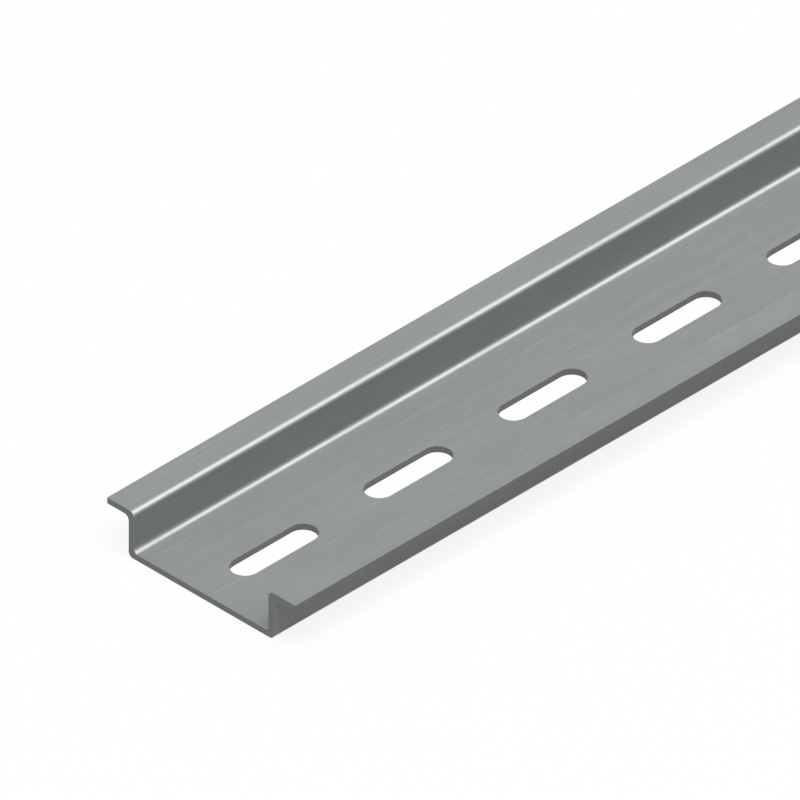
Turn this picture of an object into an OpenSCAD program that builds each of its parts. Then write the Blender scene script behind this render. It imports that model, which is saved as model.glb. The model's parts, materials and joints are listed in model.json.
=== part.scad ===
// DIN rail, top-hat section TH 35-7.5, with a row of fixing slots.
// One strip of steel, rolled into a shallow channel with a flange along each side.
// X runs along the rail, Y across it and Z up. The origin is under the middle of
// the rail, on the face that lies against the mounting plate. Sizes are in millimetres.

/* [Rail] */
// Length of the rail
rail_length = 1000; // [100:1:2000]
// Width over the two flanges, where modules clip on
rail_width = 35; // [33:0.5:50]
// Height from the mounting face to the top of the flanges
rail_height = 7.5; // [5:0.5:15]
// Width of the channel, over the outside of its two walls
channel_width = 27; // [18:0.5:29]
// Thickness of the steel strip
strip_thickness = 1; // [0.8:0.1:1.5]

/* [Bends] */
// Radius on the outside of each bend
outer_bend_radius = 0.8; // [0.2:0.1:1.2]
// Radius on the inside of each bend
inner_bend_radius = 0.8; // [0.2:0.1:1.2]

/* [Fixing slots] */
// Length of a slot, from end to end
slot_length = 15; // [8.5:0.5:20]
// Width of a slot
slot_width = 4.2; // [3:0.1:8]
// Distance from the middle of one slot to the middle of the next
slot_pitch = 25; // [22:0.5:50]
// Plain metal between the first end of the rail and the first slot
first_margin = 6.1; // [2:0.1:12]
// Least plain metal that is left between the last slot and the other end
least_last_margin = 2; // [1:0.5:10]

/* [Hidden] */
$fn = 64;
// How far a cutter runs past the face that it cuts through
cut_past = 1;
zinc = [0.588, 0.604, 0.608];

// Where the walls of the channel stand, measured from the middle of the rail
wall_outside = channel_width / 2;
wall_inside = wall_outside - strip_thickness;
flange_tip = rail_width / 2;
flange_underside = rail_height - strip_thickness;

// The row of slots, counted from the first end of the rail
row_length = rail_length - first_margin - least_last_margin;
slot_count = floor((row_length - slot_length) / slot_pitch) + 1;
first_slot = -rail_length / 2 + first_margin + slot_length / 2;

// What lies between a square corner at the origin, with its sides along +X and +Y,
// and the arc that rounds it. Added it is a fillet, and taken away it is a round.
module corner_patch(radius) {
    difference() {
        square(radius);
        translate([radius, radius]) circle(r = radius);
    }
}

// Patch at the foot of a channel wall, which reaches inward and up from the corner
module foot_patch(y, z, radius) {
    translate([y, z]) mirror([1, 0]) corner_patch(radius);
}

// Patch under the top of a channel wall, which reaches outward and down from the corner
module shoulder_patch(y, z, radius) {
    translate([y, z]) mirror([0, 1]) corner_patch(radius);
}

// Wall and flange on the +Y side of the section, and the floor up to the middle
module half_section() {
    difference() {
        union() {
            square([wall_outside, strip_thickness]);
            translate([wall_inside, 0]) square([strip_thickness, rail_height]);
            translate([wall_inside, flange_underside])
                square([flange_tip - wall_inside, strip_thickness]);
            foot_patch(wall_inside, strip_thickness, inner_bend_radius);
            shoulder_patch(wall_outside, flange_underside, inner_bend_radius);
        }
        foot_patch(wall_outside, 0, outer_bend_radius);
        shoulder_patch(wall_inside, rail_height, outer_bend_radius);
    }
}

// Whole section, across the rail and up
module section() {
    half_section();
    mirror([1, 0]) half_section();
}

// Outline of one slot, with its middle at the origin and its length along X
module slot_outline() {
    end_radius = slot_width / 2;
    end_centre = slot_length / 2 - end_radius;
    square([2 * end_centre, slot_width], center = true);
    for (side = [-1, 1]) translate([side * end_centre, 0]) circle(r = end_radius);
}

// Punches for the whole row of slots
module slot_row() {
    for (i = [0 : slot_count - 1])
        translate([first_slot + i * slot_pitch, 0, -cut_past])
            linear_extrude(height = strip_thickness + 2 * cut_past) slot_outline();
}

// The rail, lying on its mounting face with its flanges on top
module rail() {
    color(zinc)
    difference() {
        translate([-rail_length / 2, 0, 0])
            rotate([90, 0, 90])
                linear_extrude(height = rail_length) section();
        slot_row();
    }
}

rail();
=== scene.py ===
import json
import math

import bmesh
import bpy
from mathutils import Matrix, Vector


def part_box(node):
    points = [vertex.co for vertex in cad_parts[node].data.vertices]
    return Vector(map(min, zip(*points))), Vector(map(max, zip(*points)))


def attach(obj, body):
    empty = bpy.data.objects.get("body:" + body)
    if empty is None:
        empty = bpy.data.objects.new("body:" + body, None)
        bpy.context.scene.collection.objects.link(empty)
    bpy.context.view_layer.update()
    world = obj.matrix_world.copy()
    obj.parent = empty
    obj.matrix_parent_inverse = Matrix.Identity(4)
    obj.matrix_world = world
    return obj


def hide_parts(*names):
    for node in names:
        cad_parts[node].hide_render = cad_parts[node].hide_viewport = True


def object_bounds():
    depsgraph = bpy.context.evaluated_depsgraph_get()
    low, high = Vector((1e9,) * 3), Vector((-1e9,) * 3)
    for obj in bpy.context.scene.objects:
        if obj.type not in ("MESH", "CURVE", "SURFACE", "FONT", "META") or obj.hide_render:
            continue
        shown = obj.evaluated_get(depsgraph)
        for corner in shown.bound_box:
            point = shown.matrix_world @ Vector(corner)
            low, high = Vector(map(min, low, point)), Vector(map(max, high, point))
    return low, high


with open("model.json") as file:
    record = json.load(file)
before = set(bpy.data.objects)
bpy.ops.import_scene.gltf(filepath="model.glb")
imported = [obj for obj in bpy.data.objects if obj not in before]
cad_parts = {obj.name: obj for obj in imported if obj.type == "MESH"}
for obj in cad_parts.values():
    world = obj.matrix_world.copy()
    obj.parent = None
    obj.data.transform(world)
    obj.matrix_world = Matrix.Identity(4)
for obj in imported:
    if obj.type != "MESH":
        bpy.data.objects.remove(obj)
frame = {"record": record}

CAD_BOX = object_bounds()
MM = 0.001
NODE = "rail"
MATERIALS = ("zinc", "punched", "slit", "sawn")

# Section of the rail. Its outer sizes come from the frame.
STRIP = 1.0 * MM  # thickness of the steel
CHANNEL_WIDTH = 27.0 * MM  # over the outside of the walls
BEND_RADIUS = 0.8 * MM  # both sides of every bend
BEND_STEPS = 12
SLIT_RADIUS = 0.07 * MM  # worn edge of the slit strip, at the flange tips
CUT_RADIUS = 0.06 * MM  # edge that the saw leaves at the ends
EDGE_STEPS = 3
RUB_AND_HIGHLIGHT_INSIDE = 1.0  # how bright the bends are made on the channel side of the strip: partly zinc worn bright by the forming rolls, partly a painted highlight
RUB_AND_HIGHLIGHT_OUTSIDE = 0.2  # and on its other side, set low so that these bends stay dark
SHARP_ANGLE = 35  # degrees between faces, above which an edge stays sharp

# Fixing slots. Where they start and end comes from the record's outermost pair.
SLOT_PITCH = 25.0 * MM
ROLLOVER = 0.05 * MM  # where the punch draws the metal down
BREAKOUT = 0.03 * MM  # small bevel where the punch leaves
SLOT_END_STEPS = 16  # in a half circle

low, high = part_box(NODE)
WALL_OUTSIDE = CHANNEL_WIDTH / 2
WALL_INSIDE = WALL_OUTSIDE - STRIP
FLANGE_TIP = high.y
FLANGE_TOP = high.z
FLANGE_UNDERSIDE = FLANGE_TOP - STRIP

mounts = {mount["name"]: mount for mount in frame["record"]["mounts"]}
outermost = mounts["fixing_slots_outermost"]
SLOT_RADIUS = outermost["dims"]["hole_r_mm"] * MM
SLOT_REACH = outermost["dims"]["slot_length_mm"] * MM / 2 - SLOT_RADIUS
ROW_LENGTH = outermost["dims"]["spacing_x_mm"] * MM
ROW_MIDDLE = outermost["pos_m"][0]


# ---------------------------------------------------------------- section

def arc(centre, radius, start, end, steps):
    """Points (y, z) on an arc, from one angle to another in degrees."""
    points = []
    for i in range(steps + 1):
        angle = math.radians(start + (end - start) * i / steps)
        points.append((centre[0] + radius * math.cos(angle), centre[1] + radius * math.sin(angle)))
    return points


def side_outline():
    """Outline of the wall and flange at +Y, from the underside to the channel's floor.

    Each point is (y, z, rub). rub is how much a bend is brightened, partly as zinc worn bright by
    the forming rolls and partly as a painted highlight: 0 on the flats, and most in the middle of a
    bend.
    """
    r, e = BEND_RADIUS, SLIT_RADIUS
    # Each bend's brightening is partly zinc worn by the rolls, partly a painted highlight; it is
    # kept low on the outer side.
    bends = [
        (arc((WALL_OUTSIDE - r, r), r, -90, 0, BEND_STEPS), RUB_AND_HIGHLIGHT_OUTSIDE),
        (arc((WALL_OUTSIDE + r, FLANGE_UNDERSIDE - r), r, 180, 90, BEND_STEPS), RUB_AND_HIGHLIGHT_OUTSIDE),
        (arc((FLANGE_TIP - e, FLANGE_UNDERSIDE + e), e, -90, 0, EDGE_STEPS), 0.0),
        (arc((FLANGE_TIP - e, FLANGE_TOP - e), e, 0, 90, EDGE_STEPS), 0.0),
        (arc((WALL_INSIDE + r, FLANGE_TOP - r), r, 90, 180, BEND_STEPS), RUB_AND_HIGHLIGHT_INSIDE),
        (arc((WALL_INSIDE - r, STRIP + r), r, 0, -90, BEND_STEPS), RUB_AND_HIGHLIGHT_INSIDE),
    ]
    outline = []
    for points, rub_and_highlight in bends:
        for i, (y, z) in enumerate(points):
            share = i / (len(points) - 1)
            outline.append((y, z, rub_and_highlight * math.sin(math.pi * share)))
    return outline


def section_outline():
    """The whole outline, once round, seen from +X: the middle of the underside comes first."""
    side = side_outline()
    mirrored = [(-y, z, rub_and_highlight) for y, z, rub_and_highlight in reversed(side)]
    return [(0.0, 0.0, 0.0), *side, (0.0, STRIP, 0.0), *mirrored]


def inset(outline, depth):
    """The outline moved inward by a depth, square to itself."""
    moved = []
    count = len(outline)
    for i, (y, z, rub_and_highlight) in enumerate(outline):
        before, after = outline[i - 1], outline[(i + 1) % count]
        along = Vector((after[0] - before[0], after[1] - before[1])).normalized()
        moved.append((y - along.y * depth, z + along.x * depth, rub_and_highlight))
    return moved


# ---------------------------------------------------------------- slots

def slot_centres():
    """X of each slot's middle."""
    count = round(ROW_LENGTH / SLOT_PITCH) + 1
    first = ROW_MIDDLE - ROW_LENGTH / 2
    return [first + i * SLOT_PITCH for i in range(count)]


def slot_outline(centre_x, radius):
    """Points (x, y) round a slot, from its +X end, anticlockwise from above."""
    points = []
    for side in (1, -1):
        for i in range(SLOT_END_STEPS + 1):
            angle = math.radians(-90 + 180 * i / SLOT_END_STEPS)
            x = side * (SLOT_REACH + radius * math.cos(angle))
            points.append((centre_x + x, side * radius * math.sin(angle)))
    turn = SLOT_END_STEPS // 2
    return points[turn:] + points[:turn]


def slot_levels():
    """The levels of a slot's wall from the top down, as how far it lies outside the slot, and Z."""
    levels = []
    for i in range(EDGE_STEPS + 1):
        angle = math.radians(90 * i / EDGE_STEPS)
        levels.append((ROLLOVER * (1 - math.sin(angle)), STRIP - ROLLOVER * (1 - math.cos(angle))))
    return [*levels, (0.0, BREAKOUT), (BREAKOUT, 0.0)]


# ---------------------------------------------------------------- mesh

class RailMesh:
    """The rail as one closed mesh, with round bends, drawn-in slot edges and worn cut edges."""

    def __init__(self):
        self.bm = bmesh.new()
        # Per point, how much a bend is brightened: partly worn zinc, partly a painted highlight.
        self.rub_and_highlight = self.bm.verts.layers.float.new("rub_and_highlight")
        self.outline = section_outline()
        self.count = len(self.outline)
        self.top_middle = self.count // 2
        tip = 1 + 2 * (BEND_STEPS + 1) + EDGE_STEPS  # where the slit edge at +Y begins
        self.slit_edges = {tip, self.count - 1 - tip}

        centres = slot_centres()
        between = [(a + b) / 2 for a, b in zip(centres, centres[1:])]
        borders = [low.x + CUT_RADIUS, *between, high.x - CUT_RADIUS]
        sections = [self.section(x, 0.0) for x in borders]
        for centre, left, right in zip(centres, sections, sections[1:]):
            self.stretch(centre, left, right)
        self.end(-1, sections[0])
        self.end(1, sections[-1])

    def face(self, verts, material):
        """A face in one of the rail's materials."""
        self.bm.faces.new(verts).material_index = MATERIALS.index(material)

    def section(self, x, depth):
        """The section's points at a place along the rail, moved inward by a depth."""
        verts = []
        for y, z, rub_and_highlight in inset(self.outline, depth):
            vert = self.bm.verts.new((x, y, z))
            vert[self.rub_and_highlight] = rub_and_highlight
            verts.append(vert)
        return verts

    def join(self, left, right, skipped=()):
        """The surface between two sections, apart from the skipped parts of the outline."""
        for i in range(self.count):
            if i not in skipped:
                j = (i + 1) % self.count
                verts = [left[i], left[j], right[j], right[i]]
                self.face(verts, "slit" if i in self.slit_edges else "zinc")

    def stretch(self, centre, left, right):
        """The stretch of rail round one slot, between two sections."""
        floors = {0, self.top_middle - 1, self.top_middle, self.count - 1}
        self.join(left, right, floors)
        rings = [self.ring(centre, out, z) for out, z in slot_levels()]
        for side in (1, -1):
            self.floor_half(left, right, rings[0], self.top_middle, side)
            self.floor_half(left, right, rings[-1], 0, side)
        for upper, lower in zip(rings, rings[1:]):
            self.slot_wall(upper, lower)

    def ring(self, centre, out, z):
        """Vertices round a slot, at one level of its wall."""
        outline = slot_outline(centre, SLOT_RADIUS + out)
        return [self.bm.verts.new((x, y, z)) for x, y in outline]

    def floor_half(self, left, right, ring, middle, side):
        """One half of the floor round a slot, at +Y or -Y.

        middle is the place in the sections of the floor's middle, which is 0 on the underside.
        """
        half = len(ring) // 2
        under = middle == 0
        corner = middle + (side if under else -side)
        if side > 0:
            rim = ring[: half + 1]  # from the slot's +X end over +Y to its -X end
            first, last = left, right
        else:
            rim = ring[half:] + ring[:1]  # from its -X end over -Y to its +X end
            first, last = right, left
        verts = [first[middle], *reversed(rim), last[middle], last[corner], first[corner]]
        self.face(verts[::-1] if under else verts, "zinc")

    def slot_wall(self, upper, lower):
        """The part of a slot's wall between two rings."""
        for a in range(len(upper)):
            b = (a + 1) % len(upper)
            self.face([upper[a], upper[b], lower[b], lower[a]], "punched")

    def end(self, side, section):
        """The worn edge and the sawn face at one end of the rail."""
        for i in range(1, EDGE_STEPS + 1):
            angle = math.radians(90 * i / EDGE_STEPS)
            x = side * (high.x - CUT_RADIUS * (1 - math.sin(angle)))
            outer = self.section(x, CUT_RADIUS * (1 - math.cos(angle)))
            pair = (outer, section) if side < 0 else (section, outer)
            self.join(*pair)
            section = outer
        self.face(section if side > 0 else section[::-1], "sawn")

    def finished(self):
        """The Blender mesh."""
        mesh = bpy.data.meshes.new("rail_steel")
        self.bm.normal_update()
        self.bm.to_mesh(mesh)
        self.bm.free()
        return mesh


# ---------------------------------------------------------------- shader helpers

NOISE_RANGE = (0.3, 0.7)  # where most of a noise lies
BUMP_STRENGTH = 0.6
BUMP_DEPTH = 0.01 * MM


def add_node(tree, kind, inputs=None, **settings):
    """A node with its settings. An input given as a socket is linked, and any other is set."""
    made = tree.nodes.new(kind)
    for name, value in settings.items():
        setattr(made, name, value)
    for name, value in (inputs or {}).items():
        socket = made.inputs[name]
        if isinstance(value, bpy.types.NodeSocket):
            tree.links.new(value, socket)
        else:
            socket.default_value = (*value, 1.0) if socket.type == "RGBA" else value
    return made


def new_material(name):
    """An empty node material, with its tree and its Principled shader."""
    material = bpy.data.materials.new(name)
    material.use_nodes = True
    tree = material.node_tree
    tree.nodes.clear()
    shader = add_node(tree, "ShaderNodeBsdfPrincipled")
    add_node(tree, "ShaderNodeOutputMaterial", {"Surface": shader.outputs[0]})
    return material, tree, shader


def own_place(tree):
    """Coordinates in the rail's own frame."""
    return add_node(tree, "ShaderNodeTexCoord").outputs["Object"]


def stretched(tree, sizes, turn=(0.0, 0.0, 0.0)):
    """Coordinates in which a pattern's waves get these lengths along X, Y and Z.

    turn is how far the pattern is then turned about each axis, in degrees.
    """
    made = add_node(
        tree, "ShaderNodeMapping",
        {"Vector": own_place(tree), "Rotation": tuple(map(math.radians, turn)), "Scale": sizes},
        vector_type="TEXTURE",
    )
    return made.outputs[0]


def noise(tree, seed, sizes, turn=(0.0, 0.0, 0.0), detail=2.0):
    """Noise around 0.5, which is another one for each seed."""
    made = add_node(
        tree, "ShaderNodeTexNoise",
        {"Vector": stretched(tree, sizes, turn), "W": seed, "Scale": 1.0, "Detail": detail},
        noise_dimensions="4D",
    )
    return made.outputs["Fac"]


def remap(tree, value, start, end, to_start, to_end):
    """A value from one range taken to another, and held inside it."""
    made = add_node(tree, "ShaderNodeMapRange", {
        "Value": value, "From Min": start, "From Max": end, "To Min": to_start, "To Max": to_end,
    })
    return made.outputs[0]


def spread(tree, value, lowest, highest):
    """Noise spread over a range."""
    return remap(tree, value, *NOISE_RANGE, lowest, highest)


def combine(tree, operation, *values):
    """Several values put together by one operation, one after the other."""
    result = values[0]
    for value in values[1:]:
        made = add_node(tree, "ShaderNodeMath", {0: result, 1: value}, operation=operation)
        result = made.outputs[0]
    return result


def mix_colours(tree, share, colour, other):
    """A colour that goes over to another as share goes from 0 to 1."""
    made = add_node(tree, "ShaderNodeMix", {0: share, 6: colour, 7: other}, data_type="RGBA")
    return made.outputs[2]


def toned(tree, colour, tone):
    """A colour made lighter or darker by a factor."""
    made = add_node(tree, "ShaderNodeVectorMath", {0: colour, "Scale": tone}, operation="SCALE")
    return made.outputs[0]


def roughen(tree, shader, height):
    """Fine relief on a shader's surface."""
    bump = add_node(tree, "ShaderNodeBump", {
        "Height": height, "Strength": BUMP_STRENGTH, "Distance": BUMP_DEPTH,
    })
    tree.links.new(bump.outputs[0], shader.inputs["Normal"])


# ---------------------------------------------------------------- zinc

ZINC = (0.305, 0.323, 0.328)
# Colour of the brightened bends: partly zinc worn bright, partly a painted highlight.
RUBBED_ZINC_AND_HIGHLIGHT = (0.60, 0.615, 0.62)
PALE_SCRATCH = (0.46, 0.47, 0.475)
FLAT_METALLIC = 0.12
BEND_METALLIC = 0.90
FLAT_ROUGHNESS = 0.46
BEND_ROUGHNESS = 0.38
RUB_AND_HIGHLIGHT_STARTS = 0.15  # how much rub begins to show
RUB_AND_HIGHLIGHT_FULL = 0.9  # and how much shows in full

# How long the waves of each pattern are along X, Y and Z, and by how much they vary the tone
# and the roughness
ROLLING_LINES = (120 * MM, 0.8 * MM, 0.8 * MM)
ROLLING_TONE = 0.035
ROLLING_ROUGHNESS = 0.04
CLOUDS = (16 * MM, 9 * MM, 9 * MM)
CLOUD_TONE = 0.035
CLOUD_ROUGHNESS = 0.03
ZINC_GRAIN = (0.22 * MM, 0.18 * MM, 0.18 * MM)
GRAIN_TONE = 0.02
GRAIN_RELIEF = 0.25  # beside the rolling lines' relief

# Sets of scratches: how long and how wide they are, how far they turn from the rail's length
# in degrees, and how rare they are, from 0.5 to 1
SCRATCHES = (
    (14 * MM, 0.12 * MM, 0.0, 0.70),
    (6 * MM, 0.10 * MM, 12.0, 0.72),
    (5 * MM, 0.10 * MM, -21.0, 0.73),
)
FIRST_SCRATCH_SEED = 4.0
SCRATCH_EDGE = 0.04  # how softly a scratch begins
SCRATCH_SHOWS = 0.4
SCRATCH_RELIEF = -0.3


def scratches(tree, seed, length, width, turn, rarity):
    """1 on thin straight scratches, and 0 between them."""
    streaks = noise(tree, seed, (length, width, width), (0.0, 0.0, turn), detail=0.0)
    return remap(tree, streaks, rarity, rarity + SCRATCH_EDGE, 0.0, 1.0)


def zinc_material():
    """Satin zinc on rolled strip, with bends made brighter: partly worn bright by the forming
    rolls, partly a painted highlight.
    """
    material, tree, shader = new_material("zinc_plating")
    rolled = noise(tree, 1.0, ROLLING_LINES, detail=4.0)
    clouds = noise(tree, 2.0, CLOUDS, detail=3.0)
    grain = noise(tree, 3.0, ZINC_GRAIN, detail=1.0)
    sets = [scratches(tree, FIRST_SCRATCH_SEED + i, *kind) for i, kind in enumerate(SCRATCHES)]
    scuffs = combine(tree, "MAXIMUM", *sets)
    # How much each bend is brightened: partly worn zinc, partly a painted highlight.
    rub_and_highlight = add_node(tree, "ShaderNodeAttribute", attribute_name="rub_and_highlight").outputs["Fac"]
    rub_and_highlight_share = remap(tree, rub_and_highlight, RUB_AND_HIGHLIGHT_STARTS, RUB_AND_HIGHLIGHT_FULL, 0.0, 1.0)

    tone = combine(
        tree, "ADD",
        spread(tree, rolled, 1 - ROLLING_TONE, 1 + ROLLING_TONE),
        spread(tree, clouds, -CLOUD_TONE, CLOUD_TONE),
        spread(tree, grain, -GRAIN_TONE, GRAIN_TONE),
    )
    # The bends take a lighter colour here: partly worn zinc, partly a painted highlight.
    colour = mix_colours(tree, rub_and_highlight_share, ZINC, RUBBED_ZINC_AND_HIGHLIGHT)
    scratched = combine(tree, "MULTIPLY", scuffs, SCRATCH_SHOWS)
    colour = mix_colours(tree, scratched, colour, PALE_SCRATCH)
    tree.links.new(toned(tree, colour, tone), shader.inputs["Base Color"])

    metallic = remap(tree, rub_and_highlight_share, 0.0, 1.0, FLAT_METALLIC, BEND_METALLIC)
    tree.links.new(metallic, shader.inputs["Metallic"])
    rough = combine(
        tree, "ADD",
        remap(tree, rub_and_highlight_share, 0.0, 1.0, FLAT_ROUGHNESS, BEND_ROUGHNESS),
        spread(tree, rolled, -ROLLING_ROUGHNESS, ROLLING_ROUGHNESS),
        spread(tree, clouds, CLOUD_ROUGHNESS, -CLOUD_ROUGHNESS),
    )
    tree.links.new(rough, shader.inputs["Roughness"])
    roughen(tree, shader, combine(
        tree, "ADD",
        rolled,
        combine(tree, "MULTIPLY", grain, GRAIN_RELIEF),
        combine(tree, "MULTIPLY", scuffs, SCRATCH_RELIEF),
    ))
    return material


# ---------------------------------------------------------------- cut steel

SHEARED_STEEL = (0.208, 0.210, 0.212)
SHEARED_ROUGHNESS = 0.40
# The torn part is lighter: partly the matte tone of torn steel, partly painted light against the
# shade low in the slots.
TORN_STEEL_AND_PAINTED_LIGHT = (0.240, 0.242, 0.244)
TORN_ROUGHNESS = 0.58
SLIT_PAINTED_SHADE = 0.86  # painted shade: the slit edges at the flange tips are made darker than the slots by this factor
TEAR = 0.6 * MM  # height of the torn part of a punched cut. A slit edge has half of it
TEAR_WANDER = 0.08 * MM
TEAR_BLEND = 0.08 * MM

SAWN_STEEL = (0.231, 0.244, 0.249)
SAWN_SMOOTHEST = 0.42
SAWN_ROUGHEST = 0.52
SAW_SLANT = 12  # degrees from upright

# How long the waves of each pattern are along X, Y and Z, and by how much they vary the tone
DRAG_LINES = (0.16 * MM, 0.16 * MM, 2.5 * MM)
DRAG_TONE = 0.06
TORN_GRAIN = (0.14 * MM, 0.14 * MM, 0.14 * MM)
TORN_TONE = 0.10
SAW_LINES = (1.0 * MM, 0.12 * MM, 6.0 * MM)
SAW_TONE = 0.08


def sheared_material(name, torn_below, darker=1.0):
    """Steel that a punch or a slitting knife has cut: sheared smooth above, torn off below."""
    material, tree, shader = new_material(name)
    drag = noise(tree, 11.0, DRAG_LINES, detail=3.0)
    grain = noise(tree, 12.0, TORN_GRAIN, detail=2.0)
    height = add_node(tree, "ShaderNodeSeparateXYZ", {"Vector": own_place(tree)}).outputs["Z"]
    height = combine(tree, "ADD", height, spread(tree, drag, -TEAR_WANDER, TEAR_WANDER))
    torn = remap(tree, height, torn_below, torn_below + TEAR_BLEND, 1.0, 0.0)

    tone = combine(
        tree, "ADD",
        spread(tree, drag, 1 - DRAG_TONE, 1 + DRAG_TONE),
        combine(tree, "MULTIPLY", torn, spread(tree, grain, -TORN_TONE, TORN_TONE)),
    )
    # The slit edges are darkened by a factor here: painted shade.
    tone = combine(tree, "MULTIPLY", tone, darker)
    # Lighter low down where torn: partly torn steel, partly painted light against the slot's shade.
    colour = mix_colours(tree, torn, SHEARED_STEEL, TORN_STEEL_AND_PAINTED_LIGHT)
    tree.links.new(toned(tree, colour, tone), shader.inputs["Base Color"])
    shader.inputs["Metallic"].default_value = FLAT_METALLIC
    rough = remap(tree, torn, 0.0, 1.0, SHEARED_ROUGHNESS, TORN_ROUGHNESS)
    tree.links.new(rough, shader.inputs["Roughness"])
    roughen(tree, shader, combine(tree, "ADD", drag, combine(tree, "MULTIPLY", torn, grain)))
    return material


def sawn_material():
    """Steel at the sawn ends, with the fine slanting lines that the blade leaves."""
    material, tree, shader = new_material("sawn_steel")
    place = stretched(tree, SAW_LINES, (SAW_SLANT, 0.0, 0.0))
    lines = add_node(tree, "ShaderNodeTexNoise", {
        "Vector": place, "Scale": 1.0, "Detail": 3.0,
    }).outputs["Fac"]
    tone = spread(tree, lines, 1 - SAW_TONE, 1 + SAW_TONE)
    tree.links.new(toned(tree, SAWN_STEEL, tone), shader.inputs["Base Color"])
    shader.inputs["Metallic"].default_value = FLAT_METALLIC
    tree.links.new(spread(tree, lines, SAWN_SMOOTHEST, SAWN_ROUGHEST), shader.inputs["Roughness"])
    roughen(tree, shader, lines)
    return material


# ---------------------------------------------------------------- rail

def make_rail():
    """The dressed rail, which stands for the CAD node."""
    rail = bpy.data.objects.new("rail_steel", RailMesh().finished())
    bpy.context.scene.collection.objects.link(rail)
    materials = rail.data.materials  # in the order of MATERIALS
    materials.append(zinc_material())
    materials.append(sheared_material("punched_steel", TEAR))
    materials.append(sheared_material("slit_steel", FLANGE_UNDERSIDE + TEAR / 2, SLIT_PAINTED_SHADE))
    materials.append(sawn_material())
    rail.data.shade_smooth()
    rail.data.set_sharp_from_angle(angle=math.radians(SHARP_ANGLE))
    weighted = rail.modifiers.new("flat_faces_stay_flat", "WEIGHTED_NORMAL")
    weighted.keep_sharp = True
    weighted.weight = 100
    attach(rail, "root")
    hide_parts(NODE)


# ---------------------------------------------------------------- floor and room

WHITE = (1.0, 1.0, 1.0)
FLOOR_SIZE = 12.0
FLOOR_GAP = 0.02 * MM
FLOOR_PALE = (0.33, 0.33, 0.33)  # as it lights the rail
SHADOW_SHARE = 0.12  # of what the camera sees of the floor
ROOM_LIGHT = 0.165
ROOM_SHOWN = 0.5


def seen_ray(tree):
    """1 for a ray that shows a thing, straight or in a reflection, and 0 for one that lights it."""
    path = add_node(tree, "ShaderNodeLightPath")
    kinds = ("Is Camera Ray", "Is Glossy Ray", "Is Transmission Ray")
    return combine(tree, "MAXIMUM", *[path.outputs[kind] for kind in kinds])


def floor_material():
    """White to the camera and in reflections, apart from a share that takes the rail's shadow."""
    material = bpy.data.materials.new("pale_floor")
    material.use_nodes = True
    tree = material.node_tree
    tree.nodes.clear()
    white = add_node(tree, "ShaderNodeEmission", {"Color": WHITE, "Strength": 1.0})
    shaded = add_node(tree, "ShaderNodeBsdfDiffuse", {"Color": WHITE})
    shown = add_node(tree, "ShaderNodeMixShader", {
        0: SHADOW_SHARE, 1: white.outputs[0], 2: shaded.outputs[0],
    })
    pale = add_node(tree, "ShaderNodeBsdfDiffuse", {"Color": FLOOR_PALE})
    both = add_node(tree, "ShaderNodeMixShader", {
        0: seen_ray(tree), 1: pale.outputs[0], 2: shown.outputs[0],
    })
    add_node(tree, "ShaderNodeOutputMaterial", {"Surface": both.outputs[0]})
    return material


def make_floor():
    """A plain level floor just under the rail."""
    mesh = bpy.data.meshes.new("floor")
    half = FLOOR_SIZE / 2
    z = CAD_BOX[0].z - FLOOR_GAP
    corners = [(-half, -half, z), (half, -half, z), (half, half, z), (-half, half, z)]
    mesh.from_pydata(corners, [], [(0, 1, 2, 3)])
    mesh.materials.append(floor_material())
    floor = bpy.data.objects.new("floor", mesh)
    bpy.context.scene.collection.objects.link(floor)


def make_room():
    """A plain pale room, which shows paler in reflections than it lights the rail."""
    world = bpy.data.worlds.new("room")
    world.use_nodes = True
    tree = world.node_tree
    tree.nodes.clear()
    strength = remap(tree, seen_ray(tree), 0.0, 1.0, ROOM_LIGHT, ROOM_SHOWN)
    sky = add_node(tree, "ShaderNodeBackground", {"Color": WHITE, "Strength": strength})
    add_node(tree, "ShaderNodeOutputWorld", {"Surface": sky.outputs[0]})
    bpy.context.scene.world = world


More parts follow.
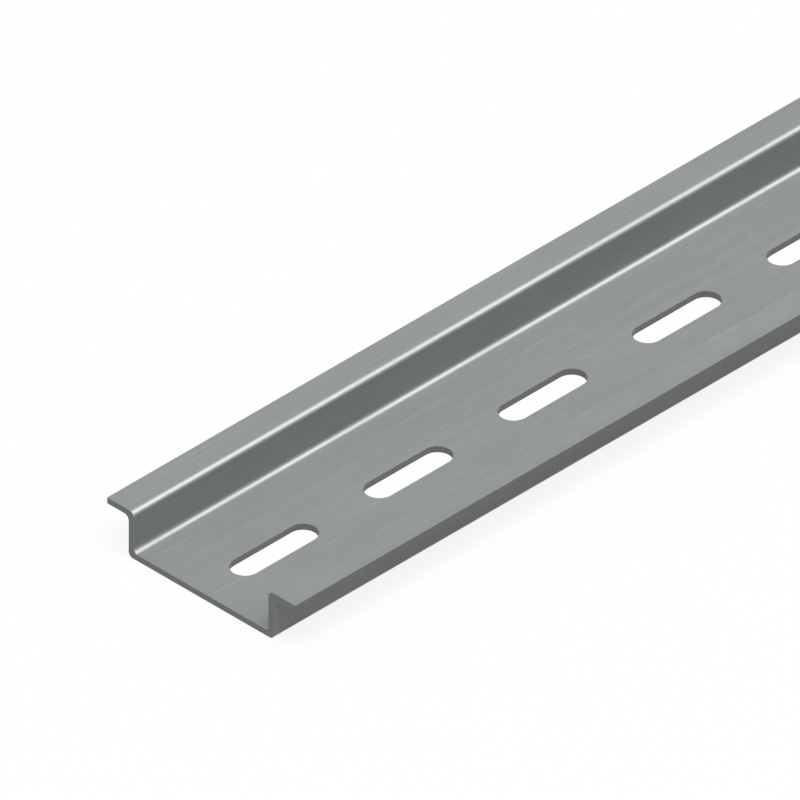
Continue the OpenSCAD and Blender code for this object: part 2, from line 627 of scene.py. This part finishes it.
# ---------------------------------------------------------------- lamps and camera

LAMP_DISTANCE = 6.0
KEY_TOWARDS = (1.0, -0.81, 1.16)
KEY_WIDTH = 5.0
KEY_RADIANCE = 1.15
KEY_COLOUR = (1.0, 0.96, 0.975)
TOP_TOWARDS = (-0.22, -0.14, 1.0)
TOP_WIDTH = 4.0
TOP_RADIANCE = 5.62

VIEW_BACK = (-1.0, -1.0, 1.0)
VIEW_WIDTH = 105.3 * MM
VIEW_ALONG = 50.44 * MM  # from the near end of the rail to the middle of the picture
VIEW_ASIDE = 13.40 * MM  # from the middle line of the rail, towards +Y
CAMERA_DISTANCE = 1.5


def stand(data, name, target, towards, distance):
    """A lamp or camera that stands off from a target in a direction, and looks back at it."""
    stood = bpy.data.objects.new(name, data)
    direction = Vector(towards).normalized()
    stood.location = target + direction * distance
    stood.rotation_mode = "QUATERNION"
    stood.rotation_quaternion = direction.to_track_quat("Z", "Y")
    bpy.context.scene.collection.objects.link(stood)
    return stood


def softbox(name, towards, width, radiance, colour):
    """A square lamp far off in a direction. radiance is how bright its face is."""
    light = bpy.data.lights.new(name, "AREA")
    light.shape = "SQUARE"
    light.size = width
    light.energy = radiance * math.pi * width * width
    light.color = colour
    stand(light, name, Vector(), towards, LAMP_DISTANCE)


def make_lights():
    """One softbox that the +Y bends mirror to the camera, a little pink, and one overhead."""
    softbox("key", KEY_TOWARDS, KEY_WIDTH, KEY_RADIANCE, KEY_COLOUR)
    softbox("overhead", TOP_TOWARDS, TOP_WIDTH, TOP_RADIANCE, WHITE)


def make_camera():
    """A parallel projection from -X, -Y and +Z alike, so that all three axes shorten alike."""
    data = bpy.data.cameras.new("camera")
    data.type = "ORTHO"
    data.ortho_scale = VIEW_WIDTH
    target = Vector((low.x + VIEW_ALONG, VIEW_ASIDE, low.z))
    bpy.context.scene.camera = stand(data, "camera", target, VIEW_BACK, CAMERA_DISTANCE)


make_camera()
make_rail()
make_floor()
make_room()
make_lights()
bpy.context.scene.view_settings.view_transform = "Standard"
